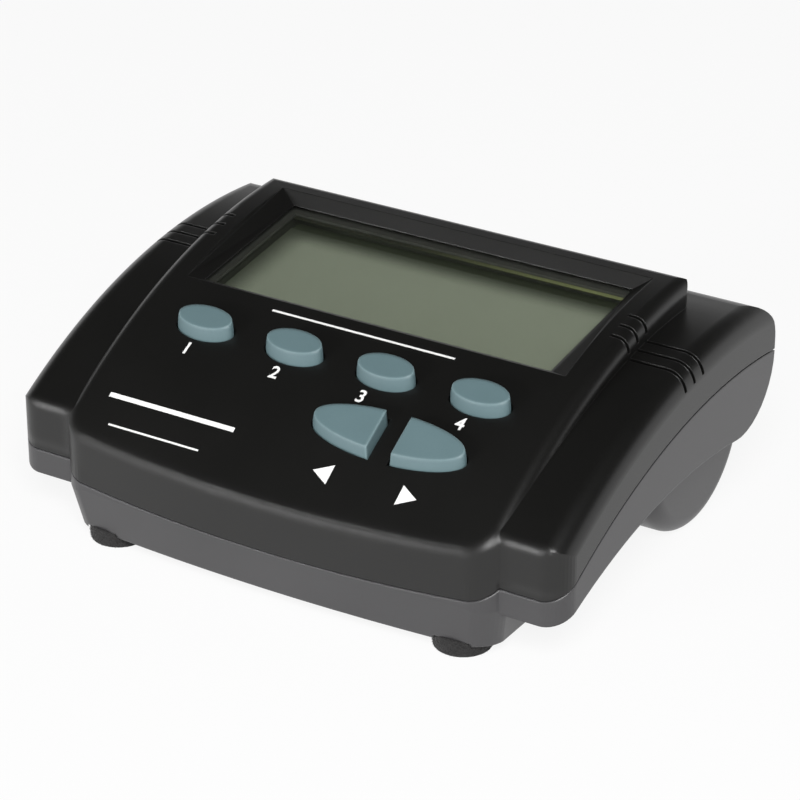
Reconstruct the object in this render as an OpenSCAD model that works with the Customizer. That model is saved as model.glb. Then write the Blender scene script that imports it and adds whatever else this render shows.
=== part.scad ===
// Desk caller display: a curved panel between two side arms, a liquid crystal window,
// six push keys, two telephone sockets at the rear and a battery bay underneath.
// Origin: middle of the footprint, on the table. X to the right, Y to the rear, Z up.

/* [Case] */
// Overall width over the side arms
case_w = 110; // [104:1:124]
// Overall depth from the front bow to the rear face
case_d = 80; // [72:1:90]
// Height of the panel's crest
case_h = 45; // [41:0.5:50]
// Height of the panel's front edge
front_h = 19.6; // [18:0.2:22]
// Width of the centre section that carries the panel
panel_w = 88; // [82:1:92]
// Wall thickness of the mouldings
wall = 2; // [1.6:0.1:2.2]
// Radius of the bow of the front face, seen from above
bow_r = 420; // [300:10:800]
// Corner radius of the centre section, seen from above
corner_r = 6; // [4:0.5:8]
// Radius of the hood's rear corners, seen from above
hood_corner_r = 3.4; // [2.6:0.2:4]
// Edge radius along both sides of the panel
panel_edge_r = 2.6; // [2.3:0.1:3.2]
// Taper of the bottom cover towards its base
base_taper = 1.5; // [0.5:0.25:2]

/* [Arms] */
// Drop from the panel's crest to the arms' crest
arm_drop = 5; // [4:0.25:6]
// Setback of the arms behind the front bow
arm_setback = 5; // [4.5:0.5:8]
// Edge radius along the outer top of an arm
arm_edge_r = 4; // [3:0.5:4.5]
// Edge radius of the arm's front
arm_front_r = 2.4; // [2.2:0.1:3]
// Radius of the arm's rear end above the seam
arm_end_r = 8; // [5:0.5:9]
// Radius of the arm's rear end below the seam
arm_heel_r = 12; // [9:0.5:13]
// Height of the arch under an arm
arch_h = 18.6; // [17:0.2:20]
// Depth of the seam below the arm's crest
seam_drop = 9.4; // [8.5:0.1:10]
// Gap that shows along the seam
seam_gap = 0.3; // [0.1:0.05:0.4]
// Width of a styling groove
groove_w = 0.8; // [0.5:0.1:1.2]
// Depth of a styling groove
groove_depth = 0.6; // [0.3:0.1:0.8]
// Distance between styling grooves
groove_pitch = 3.1; // [2.5:0.1:4]

/* [Rear barrel and feet] */
// Radius of the barrel that carries the rear
barrel_r = 17.5; // [17:0.5:18.5]
// Length of the barrel
barrel_w = 98; // [96:1:102]
// Edge radius of the barrel's ends
barrel_edge_r = 3; // [2.3:0.1:4]
// Height of the base above the table
foot_h = 2.4; // [2:0.2:3]
// Diameter of a front foot
foot_d = 10.4; // [9:0.2:12]

/* [Display] */
// Width of the rail on either side of the window
rail_w = 5.6; // [5.4:0.1:7]
// Panel left between the window and the hood's rear edge
hood_margin = 4.5; // [4:0.25:6]
// Width of the slope on either side of the lens
window_slope = 3.4; // [2.6:0.2:4]
// Depth of the lens under the panel at the window's front edge
lens_sink_front = 0.6; // [0.4:0.1:0.9]
// Depth of the lens under the panel at the window's rear edge
lens_sink_rear = 2.3; // [1.9:0.1:2.5]
// Thickness of the lens
lens_t = 1.2; // [1:0.1:1.5]
// Thickness of the display cell
cell_glass_t = 2.2; // [1.8:0.1:2.6]

/* [Keys] */
// Distance from the front bow to the middle between the key rows
key_setback = 19.4; // [18.5:0.1:20.5]
// Distance between the key rows
row_gap = 12; // [11.4:0.2:13]
// Distance from the middle between the rows to the window
window_gap = 14.8; // [14:0.2:16]
// Distance between the oval keys
key_pitch = 18.5; // [18:0.1:19.5]
// Length of an oval key
key_l = 11.4; // [10.4:0.2:12]
// Width of an oval key
key_w = 5.2; // [4.8:0.2:6.2]
// Length over both arrow keys
arrow_l = 29.8; // [29:0.2:31]
// Width of the arrow keys
arrow_w = 8; // [7:0.2:8.6]
// Gap between the arrow keys
arrow_gap = 4.2; // [3.6:0.2:5]
// Height of the oval keys over the panel
key_rise = 2.4; // [1.8:0.1:3]
// Height of the arrow keys over the panel
arrow_rise = 2.7; // [2:0.1:3.2]
// Travel of a key
key_travel = 0.8; // [0.5:0.1:0.9]
// Clearance round a key
key_clear = 0.3; // [0.2:0.05:0.4]

/* [Rear sockets] */
// Outer width of a telephone socket
jack_w = 13.4; // [13:0.2:14]
// Outer height of a telephone socket
jack_h = 12; // [11.6:0.2:12.4]
// Depth of a telephone socket
jack_l = 16; // [15:0.5:17]
// Distance between the sockets
jack_pitch = 26; // [20:1:34]

/* [Battery bay] */
// Diameter of a battery cell
cell_d = 10.5; // [10:0.1:10.5]
// Length of a battery cell with its cap
cell_l = 44.5; // [44:0.1:45]
// Number of battery cells
cells = 2; // [1:1:3]

/* [Hidden] */

$fn = 96;

front_y = -case_d / 2;
rear_y = case_d / 2;
crest_y = rear_y - 9;
arm_crest_y = rear_y - 16;
arch_y = rear_y - 30;
arm_front_y = front_y + arm_setback;
hood_y = rear_y - 10.5;
hood_edge_r = 2.5;
arm_h = case_h - arm_drop;
seam_h = arm_h - seam_drop;

// One radius shapes the panel, the arms and the seam: from the front edge up to the crest
sweep_r = (pow(crest_y - front_y, 2) + pow(case_h - front_h, 2)) / (2 * (case_h - front_h));

// Height of an arc of the common radius, whose crest is given
function arc_z(y, crest, top) = top - sweep_r + sqrt(pow(sweep_r, 2) - pow(crest - y, 2));
function panel_z(y) = arc_z(y, crest_y, case_h);
function arm_z(y) = arc_z(y, arm_crest_y, arm_h);
function seam_z(y) = arc_z(y, arm_crest_y, seam_h);
function panel_angle(y) = asin((crest_y - y) / sweep_r);

// Body colours
black = "#1f1e1d";
key_grey = "#6e868c";

// Turns a profile of radius and width about an X axis
module revolve_x(y, z) {
    translate([0, y, z]) rotate([0, 90, 0]) rotate_extrude($fn = 180) children();
}

// A disc's half section with rounded rims
module rim_profile(r, half_w, edge) {
    translate([0, -half_w]) square([r - edge, 2 * half_w]);
    translate([0, edge - half_w]) square([r, 2 * (half_w - edge)]);
    for (side = [-1, 1]) translate([r - edge, side * (half_w - edge)]) circle(edge, $fn = 48);
}

// Extrudes a side view of Y and Z over a width
module side_extrude(w) {
    translate([-w / 2, 0, 0]) rotate([90, 0, 90]) linear_extrude(w) children();
}

// What a round corner takes off: all that lies beyond a fan of tangents to its circle
module corner_waste(c, r, from, to) {
    steps = 10;
    step = (to - from) / steps;
    function spoke(turn, reach) = c + reach * [cos(turn), sin(turn)];
    polygon(concat(
        [spoke(from - step, 3 * r), spoke(from - step, r / cos(1.5 * step))],
        [for (k = [1:steps - 1]) spoke(from + k * step, r / cos(step / 2))],
        [spoke(to + step, r / cos(1.5 * step)), spoke(to + step, 3 * r)],
        [spoke((from + to) / 2, 6 * r)]
    ));
}

// Plan of the centre section: bowed front, round front corners, straight sides
bow_y = front_y + bow_r;
corner_x = panel_w / 2 - corner_r;
corner_y = bow_y - sqrt(pow(bow_r - corner_r, 2) - pow(corner_x, 2));
corner_lean = asin(corner_x / (bow_r - corner_r));
module centre_plan(inset, back) {
    half = panel_w / 2 - inset;
    difference() {
        intersection() {
            translate([-half, front_y]) square([2 * half, back - front_y]);
            translate([0, bow_y]) circle(bow_r - inset, $fn = 720);
        }
        for (side = [0, 1]) mirror([side, 0])
            corner_waste([corner_x, corner_y], corner_r - inset, corner_lean - 90, 0);
    }
}

// What the base's round front corner takes off, along the sloping edge where its faces meet
module sloping_corner_waste(inset, slope, high) {
    side_n = [1, 0, -slope] / norm([1, slope]);
    front_n = [sin(corner_lean), -cos(corner_lean), -slope] / norm([1, slope]);
    edge = cross(front_n, side_n) / norm(cross(front_n, side_n));
    across = cross(edge, side_n);
    start = [corner_x, corner_y, high];
    multmatrix([for (i = [0:2]) [side_n[i], across[i], edge[i], start[i]]])
        translate([0, 0, -case_h]) linear_extrude(2 * case_h)
            corner_waste([0, 0], corner_r - inset, atan2(front_n * across, front_n * side_n), 0);
}

// Plan of the arms: straight front with round outer corners
module arm_plan(inset) {
    half = case_w / 2 - inset;
    r = arm_edge_r + 0.5 - inset;
    y = arm_front_y + inset;
    difference() {
        translate([-half, y]) square([2 * half, rear_y - inset - y]);
        for (side = [0, 1]) mirror([side, 0]) corner_waste([half - r, y + r], r, -90, 0);
    }
}

// Side view of the arms: crest arc, round rear end, arch below
module arm_side(inset) {
    top_c = [arm_crest_y, arm_h - sweep_r];
    arch_c = [arch_y, arch_h - sweep_r];
    end_r = arm_end_r - inset;
    heel_r = arm_heel_r - inset;
    end_c = [rear_y - arm_end_r, top_c[1] + sqrt(pow(sweep_r - arm_end_r, 2)
        - pow(rear_y - arm_end_r - top_c[0], 2))];
    heel_c = [rear_y - arm_heel_r, arch_c[1] + sqrt(pow(sweep_r + arm_heel_r, 2)
        - pow(rear_y - arm_heel_r - arch_c[0], 2))];
    front_r = arm_front_r - inset;
    front_run = arm_front_y + arm_front_r - top_c[0];
    front_c = top_c + [front_run, sqrt(pow(sweep_r - arm_front_r, 2) - pow(front_run, 2))];
    front_lean = asin(-front_run / (sweep_r - arm_front_r));
    end_lean = asin((end_c[0] - top_c[0]) / (sweep_r - arm_end_r));
    heel_lean = asin((heel_c[0] - arch_c[0]) / (sweep_r + arm_heel_r));
    difference() {
        translate([front_y, 0]) square([rear_y - inset - front_y, case_h]);
        translate(arch_c) circle(sweep_r + inset, $fn = 360);
        corner_waste(front_c, front_r, 90 + front_lean, 180);
        corner_waste(end_c, end_r, 0, 90 - end_lean);
        corner_waste(heel_c, heel_r, -90 - heel_lean, 0);
    }
}

// Solid form of both arms, drawn in by an inset for the hollow inside
module arm_form(inset) {
    intersection() {
        revolve_x(arm_crest_y, arm_h - sweep_r)
            rim_profile(sweep_r - inset, case_w / 2 - inset, arm_edge_r - inset);
        side_extrude(2 * case_w) arm_side(inset);
        linear_extrude(2 * case_h) arm_plan(inset);
    }
}

// Solid form of the panel section above the seam
module panel_form(inset) {
    back = hood_y - inset;
    r = hood_edge_r - inset / 2;
    crown = [crest_y, case_h - sweep_r];
    end_r = hood_corner_r - inset;
    end_c = [panel_w / 2 - hood_corner_r, hood_y - hood_corner_r];
    edge_c = [back - r, crown[1] + sqrt(pow(sweep_r - inset - r, 2) - pow(back - r - crown[0], 2))];
    edge_lean = asin((edge_c[0] - crown[0]) / (sweep_r - inset - r));
    difference() {
        intersection() {
            revolve_x(crown[0], crown[1])
                rim_profile(sweep_r - inset, panel_w / 2 - inset, panel_edge_r - inset);
            linear_extrude(2 * case_h) centre_plan(inset, back);
        }
        side_extrude(2 * case_w) corner_waste(edge_c, r, 0, 90 - edge_lean);
        for (side = [0, 1]) mirror([side, 0, 0]) linear_extrude(2 * case_h)
            corner_waste(end_c, end_r, 0, 90);
    }
}

// Solid form of the base under the seam: its front and sides draw in towards the table
module base_form(inset) {
    low = foot_h + inset;
    high = seam_z(front_y);
    half = panel_w / 2 - inset;
    front = bow_r - inset;
    difference() {
        intersection() {
            linear_extrude(case_h) centre_plan(inset, rear_y - 10);
            translate([0, rear_y, 0]) rotate([90, 0, 0]) linear_extrude(case_d)
                polygon([
                    [base_taper - half, low], [half - base_taper, low], [half, high],
                    [half, 2 * case_h], [-half, 2 * case_h], [-half, high]
                ]);
            translate([0, bow_y, 0]) rotate_extrude($fn = 720)
                polygon([
                    [0, low], [front - base_taper, low], [front, high],
                    [front, 3 * case_h], [0, 3 * case_h]
                ]);
        }
        for (side = [0, 1]) mirror([side, 0, 0])
            sloping_corner_waste(inset, base_taper / (high - low), high);
    }
}

// Solid form of the barrel that the rear stands on, flat where it rests and at the rear
barrel_y = arm_crest_y;
barrel_land = 0.2;
barrel_z = barrel_r - barrel_land;
module barrel_form(inset) {
    intersection() {
        revolve_x(barrel_y, barrel_z)
            rim_profile(barrel_r - inset, barrel_w / 2 - inset, barrel_edge_r - inset);
        translate([-case_w, front_y, 0]) cube([2 * case_w, rear_y - inset - front_y, case_h]);
    }
}

// Everything inside the seam's arc, grown or shrunk by half of the seam's gap
module under_seam(grow) {
    translate([-case_w, arm_crest_y, seam_h - sweep_r]) rotate([0, 90, 0])
        cylinder(r = sweep_r + grow, h = 2 * case_w, $fn = 360);
}

// Case posts: places, the level where the halves meet and the level of the screw's head
screw_d = 2.6;
screw_l = 14;
head_d = 4.8;
head_h = 2;
post_r = 3;
pilot_d = 2;
screw_clear = 0.4;
post_drop = 5;
post_grip = 8;
post_places = [[panel_w / 2 - 6, front_y + 18], [barrel_w / 2 - 4.2, barrel_y]];
posts = [for (p = post_places, side = [-1, 1])
    [side * p[0], p[1], seam_z(p[1]) - post_drop, seam_z(p[1]) - post_drop - post_grip]];

// Keys: rows along the panel, drawn and pressed straight down, tops level with the panel
key_y = front_y + key_setback;
key_tilt = panel_angle(key_y);
row_y = key_y + row_gap / 2 * cos(key_tilt);
arrow_y = key_y - row_gap / 2 * cos(key_tilt);
arrow_x = 0.89 * key_pitch;
module panel_frame(y) {
    translate([0, y, panel_z(y)]) rotate([panel_angle(y), 0, 0]) children();
}
flange = 1.1;
flange_t = 1;
flange_z = -wall - 0.45;
stem_d = 4;
plunger_d = 3;
plunger_l = 2.2;
plunger_clear = 0.3;
housing = 6;
housing_h = 3;
board_t = 1.6;
press_clear = 0.2;

// The switches stand on a level board, low enough for the flange of an arrow key
arrow_tilt = panel_angle(arrow_y);
flange_low = panel_z(arrow_y) + (flange_z - flange_t) / cos(arrow_tilt) - housing / 2 * tan(arrow_tilt);
housing_z = flange_low - key_travel - press_clear;
stem_z = housing_z + key_travel + press_clear;
key_board_z = housing_z - housing_h;
key_board_half = 1.5 * key_pitch + housing / 2 + 2.25;
key_board_front = arrow_y - 6;
arrow_stem_x = 0.27 * arrow_l;
key_places = [for (i = [0:3]) [(i - 1.5) * key_pitch, row_y]];
arrow_places = [for (side = [-1, 1]) [arrow_x + side * arrow_stem_x, arrow_y]];
key_bosses = [
    [-key_pitch, row_y], [key_pitch, row_y],
    [-1.4 * key_pitch, arrow_y - 1], [-0.3 * key_pitch, arrow_y - 1]
];
boss_r = 2;
board_pilot_d = 1.6;
board_screw_d = 2;
board_screw_l = 6;
board_head_d = 3.6;
board_head_h = 1.4;

// Frame of the display: its Z=0 plane is the face of the lens
window_w = panel_w - 2 * rail_w;
window_rear = hood_y - hood_margin;
window_front = key_y + window_gap;
window_l = window_rear - window_front;
lens_w = window_w - 2 * window_slope;
lens_rear = window_rear - 1.4;
lens_front = window_front + 1;
lens_rear_z = panel_z(lens_rear) - lens_sink_rear;
lens_front_z = panel_z(lens_front) - lens_sink_front;
lens_tilt = atan2(lens_rear_z - lens_front_z, lens_rear - lens_front);
lens_l = norm([lens_rear - lens_front, lens_rear_z - lens_front_z]);
module display_frame() {
    translate([0, (lens_front + lens_rear) / 2, (lens_front_z + lens_rear_z) / 2])
        rotate([lens_tilt, 0, 0]) children();
}
lens_lap = 1;
seat_fit = 0.1;
lens_clear = 0.1;
holder_wall = 0.8;
holder_h = 4.6;
holder_lip = 0.5;
cell_gap = 0.15;
lens_plate = [lens_w + 2 * lens_lap, lens_l + 2 * lens_lap];
holder_size = [lens_plate[0] + 1, lens_plate[1] + 1.6];
glass_fit = 2 * (holder_wall + cell_gap);
glass_size = [holder_size[0] - glass_fit, holder_size[1] - glass_fit];
holder_top = -lens_t - lens_clear;
holder_low = holder_top - holder_h;
glass_top = holder_top - holder_lip - cell_gap;
display_board_half = panel_w / 2 - wall - 1;
display_board_front = -holder_size[1] / 2 - 2.4;
display_board_rear = holder_size[1] / 2;
pin_y = (lens_front + lens_rear) / 2 + (display_board_front + 1) * cos(lens_tilt)
    - (holder_low - board_t) * sin(lens_tilt);
key_board_rear = pin_y + 1.4;
display_boss_x = holder_size[0] / 2 + boss_r + 0.15;
display_bosses = [for (x = [-1, 1], y = [-1, 1]) [x * display_boss_x, y * (lens_l / 2 - 2)]];

// Rear sockets and their board
jack_z = barrel_z;
jack_front = rear_y - 0.4;
jack_fit = 0.25;
jack_board_top = jack_z - jack_h / 2;
jack_board_half = barrel_w / 2 - 14;
jack_board_front = jack_front - 24;
jack_board_rear = rear_y - wall - 1;
jack_bosses = [for (side = [-1, 1]) [side * (jack_board_half - 6), barrel_y - 3]];
jack_posts = [for (side = [-1, 1]) side * jack_pitch / 2];

// Battery bay, its cells side by side over a lidded opening in the base
floor_t = wall;
floor_top = foot_h + floor_t;
cell_pitch = cell_d + 0.6;
cell_lift = 0.4;
cell_z = floor_top + cell_lift + cell_d / 2;
spring_l = 5;
plate_t = 0.4;
bay_half = (cell_l + spring_l) / 2 + plate_t + 0.1;
bay_wall = 1.5;
bay_rear = barrel_y - barrel_r + 5.5;
opening_l = cells * cell_pitch + 0.7;
opening_front = bay_rear - opening_l;
bay_front = opening_front - 3.5;
bay_roof = cell_z + cell_d / 2 + 0.6;
tongue_roof = floor_top + 4;
door_clear = 0.15;
door_half = bay_half - 0.3;
cell_places = [for (i = [0:cells - 1]) bay_rear - 0.35 - (i + 0.5) * cell_pitch];

// Front feet, let into the base
foot_x = panel_w / 2 - 8.9;
foot_y = front_y + 7.4;
foot_seat = 0.6;
foot_fit = 0.3;

// Outline of a key seen from above, grown for its hole or its flange
module key_plan(l, w, y, grow) {
    half_l = l / 2 + grow;
    half_w = w / 2 * cos(panel_angle(y)) + grow;
    scale([half_l / half_w, 1]) circle(half_w);
}

// A slice of a key between two levels over the panel, its sides upright
module key_slice(x, y, l, w, grow, low, high) {
    intersection() {
        translate([x, y, 0]) linear_extrude(2 * case_h) key_plan(l, w, y, grow);
        panel_frame(y) translate([-case_w, -case_w, low]) cube([2 * case_w, 2 * case_w, high - low]);
    }
}

// Body of a key with the flange that holds it under the panel
module key_body(x, y, l, w, rise) {
    key_slice(x, y, l, w, 0, flange_z - flange_t / 2, rise);
    key_slice(x, y, l, w, flange, flange_z - flange_t, flange_z);
}

// Stem that stands on a switch
module key_stem(p) {
    top = panel_z(p[1]) + flange_z / cos(key_tilt) - flange_t / 2;
    translate([p[0], p[1], stem_z]) cylinder(d = stem_d, h = top - stem_z, $fn = 48);
}

// Half of the arrow pair, to the left or the right of the gap between them
module arrow_half(side, gap) {
    reach = 2 * case_w;
    translate([arrow_x + (side > 0 ? gap / 2 : -gap / 2 - reach), -reach / 2, -reach / 2]) cube(reach);
}

// Holes that let the keys through the panel
module key_holes() {
    module shaft(x, y, l, w) {
        translate([x, y, panel_z(y) - 4 * wall]) linear_extrude(8 * wall) key_plan(l, w, y, key_clear);
    }
    for (p = key_places) shaft(p[0], p[1], key_l, key_w);
    for (side = [-1, 1]) intersection() {
        shaft(arrow_x, arrow_y, arrow_l, arrow_w);
        arrow_half(side, arrow_gap - 2 * key_clear);
    }
}

// Sunk window: sloping walls from the panel's edge down to the lens
module window_recess() {
    rise = panel_z(window_rear) - panel_z(window_front);
    chord = norm([window_l, rise]);
    slope = atan2(rise, window_l);
    skin = 0.01;
    module mouth(h) {
        translate([0, window_front, panel_z(window_front)]) rotate([slope, 0, 0])
            translate([-window_w / 2, 0, 0]) cube([window_w, chord, h]);
    }
    hull() {
        mouth(4);
        display_frame() translate([-lens_w / 2, -lens_l / 2, -skin]) cube([lens_w, lens_l, skin]);
    }
}

// Three grooves across each arm and each panel rail
module groove_cuts() {
    for (i = [0:2]) {
        y = crest_y - 18.8 - i * groove_pitch;
        difference() {
            translate([-case_w, y - groove_w / 2, arm_z(y) - 0.85 * arm_edge_r])
                cube([2 * case_w, groove_w, 2 * arm_edge_r]);
            revolve_x(arm_crest_y, arm_h - sweep_r)
                rim_profile(sweep_r - groove_depth, case_w / 2 - groove_depth, arm_edge_r - groove_depth);
            translate([-panel_w / 2, front_y, 0]) cube([panel_w, case_d, case_h]);
        }
        for (side = [0, 1]) mirror([side, 0, 0]) difference() {
            translate([window_w / 2 + 2, y - groove_w / 2, panel_z(y) - panel_edge_r])
                cube([panel_w / 2, groove_w, 2 * panel_edge_r]);
            revolve_x(crest_y, case_h - sweep_r)
                rim_profile(sweep_r - groove_depth, panel_w / 2 - groove_depth,
                    panel_edge_r - groove_depth);
            translate([panel_w / 2 + 0.01, front_y, 0]) cube([case_w, case_d, case_h]);
        }
    }
}

// Posts and bosses that hang from the top cover, kept inside its outer skin
module top_posts() {
    intersection() {
        union() {
            for (p = posts) translate([p[0], p[1], p[2] + seam_gap]) cylinder(r = post_r, h = case_h);
            for (p = key_bosses) translate([p[0], p[1], key_board_z]) cylinder(r = boss_r, h = case_h);
            display_frame() for (p = display_bosses)
                translate([p[0], p[1], holder_low]) cylinder(r = boss_r, h = 10);
            display_frame() translate([-window_w / 2 - 1, -holder_size[1] / 2, 0])
                cube([window_w + 2, holder_size[1], 10]);
        }
        union() {
            panel_form(wall / 2);
            arm_form(wall / 2);
        }
    }
}

// Room for the lens and its holder behind the window
module display_seat() {
    module pocket(size, low, high) {
        translate([-size[0] / 2 - seat_fit, -size[1] / 2 - seat_fit, low])
            cube([size[0] + 2 * seat_fit, size[1] + 2 * seat_fit, high - low]);
    }
    display_frame() {
        pocket(lens_plate, holder_low, 0);
        pocket(holder_size, holder_low - board_t, holder_top + seat_fit);
    }
}

module top_cover() {
    color(black) difference() {
        union() {
            difference() {
                union() {
                    panel_form(0);
                    arm_form(0);
                }
                under_seam(seam_gap / 2);
                panel_form(wall);
                arm_form(wall);
            }
            top_posts();
        }
        key_holes();
        window_recess();
        display_seat();
        groove_cuts();
        for (p = posts) translate([p[0], p[1], p[2]]) cylinder(d = pilot_d, h = screw_l - 4);
        for (p = key_bosses)
            translate([p[0], p[1], key_board_z - 1]) cylinder(d = board_pilot_d, h = board_screw_l);
        display_frame() for (p = display_bosses)
            translate([p[0], p[1], holder_low]) cylinder(d = board_pilot_d, h = board_screw_l - 1);
    }
}

// Walls and roof of the battery bay, low in front where the lid's tongues hook in
module bay_walls() {
    module block(front, rear, roof, grow) {
        low = foot_h + floor_t / 2;
        translate([-bay_half - grow, front - grow, low])
            cube([2 * (bay_half + grow), rear - front + 2 * grow, roof + grow - low]);
    }
    difference() {
        union() {
            block(opening_front, bay_rear, bay_roof, bay_wall);
            block(bay_front, opening_front, tongue_roof, bay_wall);
        }
        block(opening_front, bay_rear, bay_roof, 0);
        block(bay_front, opening_front + 1, tongue_roof, 0);
    }
}

// Posts and bosses that stand in the bottom cover
module bottom_posts() {
    intersection() {
        union() {
            for (p = posts) translate([p[0], p[1], 0]) cylinder(r = post_r, h = p[2]);
            for (p = jack_bosses) translate([p[0], p[1], 0])
                cylinder(r = boss_r, h = jack_board_top - board_t);
        }
        union() {
            base_form(wall / 2);
            barrel_form(wall / 2);
        }
    }
}

module bottom_cover() {
    color(black) difference() {
        union() {
            difference() {
                intersection() {
                    union() {
                        base_form(0);
                        barrel_form(0);
                        arm_form(0);
                    }
                    under_seam(-seam_gap / 2);
                }
                base_form(wall);
                barrel_form(wall);
                arm_form(wall);
            }
            bottom_posts();
            bay_walls();
        }
        for (p = posts) translate([p[0], p[1], 0]) {
            translate([0, 0, -1]) cylinder(d = head_d + 2 * screw_clear, h = p[3] + 1);
            cylinder(d = screw_d + screw_clear, h = case_h);
        }
        for (p = jack_bosses)
            translate([p[0], p[1], jack_board_top - board_t - board_screw_l + 2])
                cylinder(d = board_pilot_d, h = board_screw_l);
        for (x = jack_posts)
            translate([x - jack_w / 2 - jack_fit, rear_y - 2 * wall, jack_z - jack_h / 2 - jack_fit])
                cube([jack_w + 2 * jack_fit, 3 * wall, jack_h + 2 * jack_fit]);
        translate([-bay_half, opening_front, 0]) cube([2 * bay_half, opening_l, floor_top + 1]);
        for (side = [-1, 1]) translate([side * foot_x, foot_y, 0])
            cylinder(d = foot_d + 2 * foot_fit, h = foot_h + foot_seat);
    }
}

// Lid of the battery bay: it turns on its round front edge, where two tongues hook in,
// and a spring catch holds its rear
tongue_w = 8;
tongue_x = 14;
tongue_t = 1.2;
tongue_gap = 0.25;
catch_w = 12;
module battery_door() {
    y0 = opening_front + door_clear;
    y1 = bay_rear - door_clear;
    color(black) difference() {
        union() {
            translate([-door_half, y0 + floor_t / 2, foot_h])
                cube([2 * door_half, y1 - y0 - floor_t / 2, floor_t]);
            translate([-door_half, y0 + floor_t / 2, foot_h + floor_t / 2]) rotate([0, 90, 0])
                cylinder(d = floor_t, h = 2 * door_half);
            for (side = [-1, 1])
                translate([side * tongue_x - tongue_w / 2, y0, floor_top - floor_t / 3])
                    cube([tongue_w, 1.3, tongue_gap + tongue_t + floor_t / 3]);
            for (side = [-1, 1])
                translate([side * tongue_x - tongue_w / 2, y0 - 2.4, floor_top + tongue_gap])
                    cube([tongue_w, 3, tongue_t]);
        }
        for (side = [-1, 1]) translate([side * catch_w / 2 - 0.4, y1 - 6, 0]) cube([0.8, 7, case_h]);
        translate([0, y1 - 7, foot_h - 6]) rotate([0, 90, 0])
            cylinder(r = 6.8, h = catch_w - 1.6, center = true);
    }
}

module front_feet() {
    color("#161616") for (side = [-1, 1]) translate([side * foot_x, foot_y, 0])
        cylinder(d = foot_d, h = foot_h + foot_seat);
}

module display_lens() {
    color("#b9c4b4", 0.35) display_frame()
        translate([-lens_plate[0] / 2, -lens_plate[1] / 2, -lens_t])
            cube([lens_plate[0], lens_plate[1], lens_t]);
}

// Two glass plates, the lower one standing out where the contacts are
module display_cell() {
    half_t = cell_glass_t / 2;
    step = 2.2;
    color("#78806f") display_frame()
        translate([-glass_size[0] / 2, -glass_size[1] / 2, glass_top - cell_glass_t]) {
            cube([glass_size[0], glass_size[1], half_t]);
            translate([0, step, half_t]) cube([glass_size[0], glass_size[1] - step, half_t]);
        }
}

// Open frame that clamps the cell between the lens and the board
module display_holder() {
    rim = 1.4;
    color("#d8d8d2") display_frame() difference() {
        translate([-holder_size[0] / 2, -holder_size[1] / 2, holder_low])
            cube([holder_size[0], holder_size[1], holder_h]);
        translate([holder_wall - holder_size[0] / 2, holder_wall - holder_size[1] / 2, holder_low - 1])
            cube([holder_size[0] - 2 * holder_wall, holder_size[1] - 2 * holder_wall,
                holder_h + 1 - holder_lip]);
        translate([rim - lens_plate[0] / 2, rim - lens_plate[1] / 2, holder_low])
            cube([lens_plate[0] - 2 * rim, lens_plate[1] - 2 * rim, holder_h + 1]);
    }
}

// Rubber strips that carry the signals from the board to the cell
module contact_strips() {
    strip_w = 2;
    low = holder_low;
    high = glass_top - cell_glass_t;
    color("#e3a7ac") display_frame() for (side = [-1, 1])
        translate([-lens_w / 2, side * (glass_size[1] / 2 - strip_w / 2) - strip_w / 2, low])
            cube([lens_w, strip_w, high - low]);
}

module display_board() {
    color("#2c6b3c") display_frame() difference() {
        translate([-display_board_half, display_board_front, holder_low - board_t])
            cube([2 * display_board_half, display_board_rear - display_board_front, board_t]);
        for (p = display_bosses) translate([p[0], p[1], holder_low - 2 * board_t])
            cylinder(d = board_screw_d + 0.2, h = 3 * board_t);
    }
}

// Flat pack that drives the display, under its board
module main_chip() {
    size = 14;
    leg_w = 0.6;
    leg_l = 1.5;
    legs = 9;
    low = holder_low - board_t;
    color("#2b2b2b") display_frame() translate([-14, 2, low - 1.8]) {
        translate([-size / 2, -size / 2, 0]) cube([size, size, 1.6]);
        for (turn = [0:90:270], i = [0:legs - 1]) rotate([0, 0, turn])
            translate([size / 2 - 0.1, (i - (legs - 1) / 2) * 1.3 - leg_w / 2, 0.8]) {
                cube([leg_l, leg_w, 0.3]);
                translate([leg_l - 0.3, 0, 0]) cube([0.3, leg_w, 1]);
            }
    }
}

module key_board() {
    color("#2c6b3c") difference() {
        translate([-key_board_half, key_board_front, key_board_z - board_t])
            cube([2 * key_board_half, key_board_rear - key_board_front, board_t]);
        for (p = key_bosses) translate([p[0], p[1], key_board_z - 2 * board_t])
            cylinder(d = board_screw_d + 0.2, h = 3 * board_t);
    }
}

// Row of pins between the two boards
pin_count = 12;
module link_pins() {
    pin_d = 0.6;
    spread = 2.54;
    color("#c9a94e") difference() {
        for (i = [0:pin_count - 1])
            translate([(i - (pin_count - 1) / 2) * spread, pin_y, key_board_z])
                cylinder(d = pin_d, h = case_h, $fn = 24);
        display_frame() translate([-case_w, -case_d, holder_low - board_t])
            cube([2 * case_w, 2 * case_d, 2 * case_h]);
    }
}

// Six push switches on the key board, each with a well for its plunger
module switch_housings() {
    well = plunger_l + 0.3 - press_clear;
    color("#3a3a3a") for (p = concat(key_places, arrow_places))
        translate([p[0], p[1], key_board_z]) difference() {
            translate([-housing / 2, -housing / 2, 0]) cube([housing, housing, housing_h]);
            translate([0, 0, housing_h - well])
                cylinder(d = plunger_d + 2 * plunger_clear, h = well + 1, $fn = 48);
        }
}

module plunger(p) {
    color("#d9d4c8") translate([p[0], p[1], stem_z - plunger_l])
        cylinder(d = plunger_d, h = plunger_l, $fn = 48);
}

module oval_key(p) {
    color(key_grey) {
        key_body(p[0], p[1], key_l, key_w, key_rise);
        key_stem(p);
    }
}

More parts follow.
